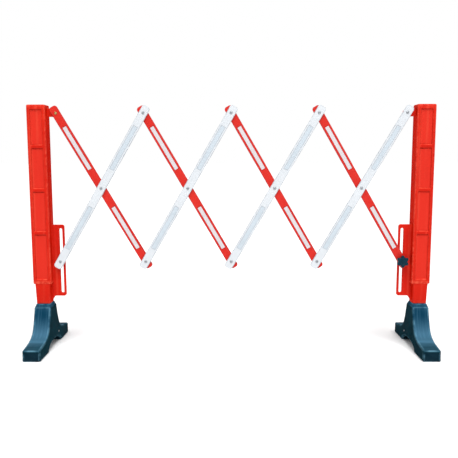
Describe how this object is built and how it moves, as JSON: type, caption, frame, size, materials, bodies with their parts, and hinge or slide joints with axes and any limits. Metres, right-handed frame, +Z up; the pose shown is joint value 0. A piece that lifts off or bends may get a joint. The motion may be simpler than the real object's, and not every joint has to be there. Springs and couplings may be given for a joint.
{
  "type": "expanding barricade",
  "caption": "Free-standing folding lattice barrier: red and white reflective slats pinned between moulded posts on swivelling feet, held open by a star knob.",
  "frame": {"origin": "on the ground, midway between the two posts", "axes": "+X along the barrier to the right post, +Y to the back, +Z up; the lattice and knob face -Y"},
  "size_m": [1.64, 0.404, 1.004],
  "materials": {
    "red_moulding": "satin moulded polyethylene, signal red",
    "foot_moulding": "matt moulded recycled plastic, dark petrol blue",
    "red_slat": "satin red plastic",
    "white_slat": "satin white plastic",
    "reflective_tape": "retroreflective sheeting, silver white",
    "knob": "moulded nylon, blue black",
    "steel": "zinc-plated steel",
    "brass": "yellow-passivated steel",
    "nylon": "dark grey nylon"
  },
  "bodies": {
    "left_post": {"left_post": "red_moulding", "left_swivel_bolt": "steel", "left_swivel_washer": "steel", "left_lug_rivet": "brass", "left_lug_washer": "nylon"},
    "right_post": {"right_post": "red_moulding", "right_swivel_bolt": "steel", "right_swivel_washer": "steel"},
    "left_foot": {"left_foot": "foot_moulding", "left_foot_screw": "steel"},
    "right_foot": {"right_foot": "foot_moulding", "right_foot_screw": "steel"},
    "red_slat_1": {"red_slat_1": "red_slat", "red_tape_1_lower": "reflective_tape", "red_tape_1_upper": "reflective_tape"},
    "white_slat_1": {"white_slat_1": "white_slat", "white_tape_1_lower": "reflective_tape", "white_tape_1_upper": "reflective_tape", "crossing_rivet_1": "steel", "top_rivet_1": "steel"},
    "red_slat_2": {"red_slat_2": "red_slat", "red_tape_2_lower": "reflective_tape", "red_tape_2_upper": "reflective_tape"},
    "white_slat_2": {"white_slat_2": "white_slat", "white_tape_2_lower": "reflective_tape", "white_tape_2_upper": "reflective_tape", "crossing_rivet_2": "steel", "top_rivet_2": "steel", "bottom_rivet_1": "steel"},
    "red_slat_3": {"red_slat_3": "red_slat", "red_tape_3_lower": "reflective_tape", "red_tape_3_upper": "reflective_tape"},
    "white_slat_3": {"white_slat_3": "white_slat", "white_tape_3_lower": "reflective_tape", "white_tape_3_upper": "reflective_tape", "crossing_rivet_3": "steel", "top_rivet_3": "steel", "bottom_rivet_2": "steel"},
    "red_slat_4": {"red_slat_4": "red_slat", "red_tape_4_lower": "reflective_tape", "red_tape_4_upper": "reflective_tape"},
    "white_slat_4": {"white_slat_4": "white_slat", "white_tape_4_lower": "reflective_tape", "white_tape_4_upper": "reflective_tape", "crossing_rivet_4": "steel", "bottom_rivet_3": "steel", "right_lug_bush": "nylon", "right_lug_rivet": "steel"},
    "left_slider": {"left_slider": "nylon", "left_slider_bush": "nylon", "left_slider_washer": "steel", "left_slider_rivet": "steel"},
    "right_slider": {"right_slider": "nylon", "clamp_bolt_washer": "steel", "clamp_bolt": "steel"},
    "clamp_washer": {"clamp_washer": "steel"},
    "star_knob": {"star_knob": "knob"}
  },
  "joints": [
    {"name": "lattice_fold", "type": "hinge", "parent": "left_post", "child": "red_slat_1", "pos_m": [-0.706, -0.0105, 0.9705], "axis": [0, -1, 0], "range_deg": [-24.78, 16.62]},
    {"name": "crossing_pivot_1", "type": "hinge", "parent": "red_slat_1", "child": "white_slat_1", "pos_m": [-0.5295, -0.0105, 0.66826], "axis": [0, -1, 0], "range_deg": [-33.73, 50.07]},
    {"name": "top_pivot_1", "type": "hinge", "parent": "white_slat_1", "child": "red_slat_2", "pos_m": [-0.353, -0.0105, 0.9705], "axis": [0, -1, 0], "range_deg": [-50.07, 33.73]},
    {"name": "crossing_pivot_2", "type": "hinge", "parent": "red_slat_2", "child": "white_slat_2", "pos_m": [-0.1765, -0.0105, 0.66826], "axis": [0, -1, 0], "range_deg": [-33.73, 50.07]},
    {"name": "top_pivot_2", "type": "hinge", "parent": "white_slat_2", "child": "red_slat_3", "pos_m": [0, -0.0105, 0.9705], "axis": [0, -1, 0], "range_deg": [-50.07, 33.73]},
    {"name": "crossing_pivot_3", "type": "hinge", "parent": "red_slat_3", "child": "white_slat_3", "pos_m": [0.1765, -0.0105, 0.66826], "axis": [0, -1, 0], "range_deg": [-33.73, 50.07]},
    {"name": "top_pivot_3", "type": "hinge", "parent": "white_slat_3", "child": "red_slat_4", "pos_m": [0.353, -0.0105, 0.9705], "axis": [0, -1, 0], "range_deg": [-50.07, 33.73]},
    {"name": "crossing_pivot_4", "type": "hinge", "parent": "red_slat_4", "child": "white_slat_4", "pos_m": [0.5295, -0.0105, 0.66826], "axis": [0, -1, 0], "range_deg": [-33.73, 50.07]},
    {"name": "right_lug_pivot", "type": "hinge", "parent": "white_slat_4", "child": "right_post", "pos_m": [0.706, -0.02, 0.9705], "axis": [0, -1, 0], "range_deg": [-25.28, 17.12]},
    {"name": "left_slider_pivot", "type": "hinge", "parent": "white_slat_1", "child": "left_slider", "pos_m": [-0.706, -0.02, 0.36602], "axis": [0, -1, 0], "range_deg": [-25.28, 17.12]},
    {"name": "right_slider_pivot", "type": "hinge", "parent": "red_slat_4", "child": "right_slider", "pos_m": [0.706, -0.0105, 0.36602], "axis": [0, -1, 0], "range_deg": [-17.12, 25.28]},
    {"name": "clamp_travel", "type": "slide", "parent": "right_slider", "child": "clamp_washer", "axis": [0, -1, 0], "range_m": [0, 0.0025]},
    {"name": "knob_turn", "type": "hinge", "parent": "clamp_washer", "child": "star_knob", "pos_m": [0.706, -0.025, 0.36602], "axis": [0, -1, 0], "range_deg": [-1, 721]},
    {"name": "left_foot_swivel", "type": "hinge", "parent": "left_post", "child": "left_foot", "pos_m": [-0.782, 0, 0.1895], "axis": [0, 0, 1], "range_deg": [0, 90]},
    {"name": "right_foot_swivel", "type": "hinge", "parent": "right_post", "child": "right_foot", "pos_m": [0.782, 0, 0.1895], "axis": [0, 0, 1], "range_deg": [0, 90]}
  ],
  "couplings": [
    {"joint": "crossing_pivot_1", "follows": "lattice_fold", "ratio": -2},
    {"joint": "top_pivot_1", "follows": "lattice_fold", "ratio": 2},
    {"joint": "crossing_pivot_2", "follows": "lattice_fold", "ratio": -2},
    {"joint": "top_pivot_2", "follows": "lattice_fold", "ratio": 2},
    {"joint": "crossing_pivot_3", "follows": "lattice_fold", "ratio": -2},
    {"joint": "top_pivot_3", "follows": "lattice_fold", "ratio": 2},
    {"joint": "crossing_pivot_4", "follows": "lattice_fold", "ratio": -2},
    {"joint": "right_lug_pivot", "follows": "lattice_fold", "ratio": 1},
    {"joint": "left_slider_pivot", "follows": "lattice_fold", "ratio": 1},
    {"joint": "right_slider_pivot", "follows": "lattice_fold", "ratio": -1},
    {"joint": "knob_turn", "follows": "clamp_travel", "rad_per_m": 5026.5}
  ]
}
